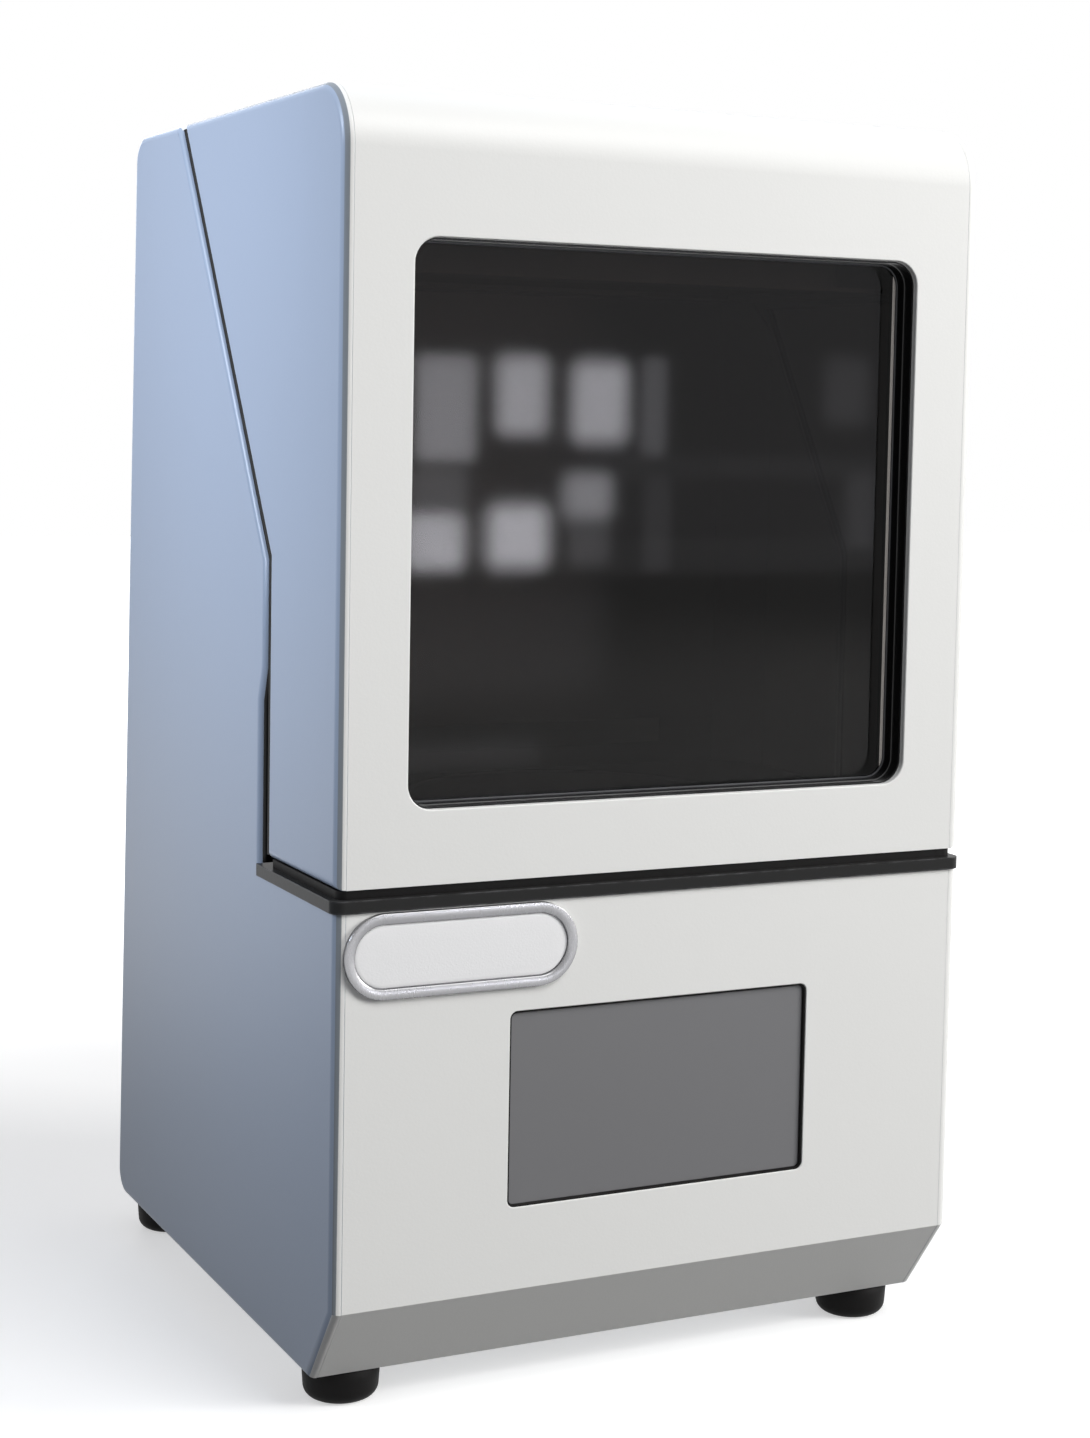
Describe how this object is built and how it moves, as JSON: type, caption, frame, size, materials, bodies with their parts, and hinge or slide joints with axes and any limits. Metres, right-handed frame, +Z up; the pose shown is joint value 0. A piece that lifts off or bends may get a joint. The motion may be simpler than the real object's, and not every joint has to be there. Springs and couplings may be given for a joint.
{
  "type": "dental lab light curing unit",
  "caption": "Desktop light curing unit for dental lab resin work, with a lift-up hood, smoked window, turntable chamber, display, exhaust fan and mains inlet.",
  "frame": {"origin": "in the middle of the footprint, on the surface that the feet stand on", "axes": "+Z up, the front with the window and display faces -Y, +X to the right as seen from the front"},
  "size_m": [0.227, 0.2374, 0.4125],
  "materials": {
    "shell_white": "fine satin texture",
    "shell_blue_grey": "fine satin texture",
    "band_black": "fine satin texture",
    "bezel_black": "satin",
    "dark_plastic": "satin",
    "rocker_plastic": "gloss",
    "display_glass": "flush lens over the screen",
    "smoked_pane": "dark smoked light filter",
    "frosted_lens": "frosted",
    "black_rubber": "matt",
    "reflector_metal": "bright rolled sheet",
    "heatsink_metal": "extruded",
    "turntable_metal": "turned",
    "steel_sheet": "zinc plated sheet",
    "steel_pin": "ground",
    "motor_steel": "plated can",
    "magnet_metal": "nickel plated",
    "supply_case": "folded case",
    "brass_pin": "plated contact",
    "circuit_board": "solder mask",
    "led_chip": "phosphor"
  },
  "bodies": {
    "body": {"side_panel_left": "shell_blue_grey", "side_panel_right": "shell_blue_grey", "lower_fascia": "shell_white", "display_lens": "display_glass", "display_module": "dark_plastic", "deck_tray": "band_black", "deck_seal": "black_rubber", "chamber_reflector": "reflector_metal", "rear_light_lens": "frosted_lens", "rear_led_board": "circuit_board", "column_cap": "shell_white", "hinge_cover": "dark_plastic", "rear_panel": "shell_white", "hinge_beam": "steel_sheet", "chassis_post_left": "steel_sheet", "chassis_post_right": "steel_sheet", "hinge_bracket_left": "steel_sheet", "hinge_bracket_right": "steel_sheet", "hinge_pins": "steel_pin", "bottom_plate": "steel_sheet", "foot_front_left": "black_rubber", "foot_front_right": "black_rubber", "foot_rear_left": "black_rubber", "foot_rear_right": "black_rubber", "main_board": "circuit_board", "board_parts": "dark_plastic", "power_supply": "supply_case", "reed_sensor": "dark_plastic", "turntable_motor": "motor_steel", "fan_frame": "dark_plastic", "mains_inlet": "dark_plastic", "inlet_pins": "brass_pin", "rocker_housing": "dark_plastic"},
    "hood": {"hood_shell": "shell_white", "hood_cheek_left": "shell_blue_grey", "hood_cheek_right": "shell_blue_grey", "cheek_liner_left": "reflector_metal", "cheek_liner_right": "reflector_metal", "window_bezel": "bezel_black", "window_gasket": "black_rubber", "window_pane": "smoked_pane", "pane_retainer": "bezel_black", "head_tray": "reflector_metal", "light_diffuser": "frosted_lens", "head_led_board": "circuit_board", "head_led_chips": "led_chip", "heatsink": "heatsink_metal", "hood_arm_left": "steel_sheet", "hood_arm_right": "steel_sheet", "hood_magnet": "magnet_metal"},
    "turntable": {"turntable_shaft": "steel_pin", "turntable_hub": "dark_plastic", "turntable_plate": "turntable_metal"},
    "fan": {"fan_rotor": "dark_plastic"},
    "rocker": {"power_rocker": "rocker_plastic"}
  },
  "joints": [
    {"name": "hood_hinge", "type": "hinge", "parent": "body", "child": "hood", "pos_m": [0, 0.06453, 0.3983], "axis": [-1, 0, 0], "range_deg": [0, 70]},
    {"name": "turntable_spin", "type": "hinge", "parent": "body", "child": "turntable", "pos_m": [0, -0.04375, 0.181], "axis": [0, 0, 1], "continuous": true},
    {"name": "fan_spin", "type": "hinge", "parent": "body", "child": "fan", "pos_m": [0, 0.10435, 0.22665], "axis": [0, 0.999, 0.0449], "continuous": true},
    {"name": "rocker_tilt", "type": "hinge", "parent": "body", "child": "rocker", "pos_m": [-0.024, 0.11149, 0.06781], "axis": [1, 0, 0], "range_deg": [0, 16]}
  ]
}
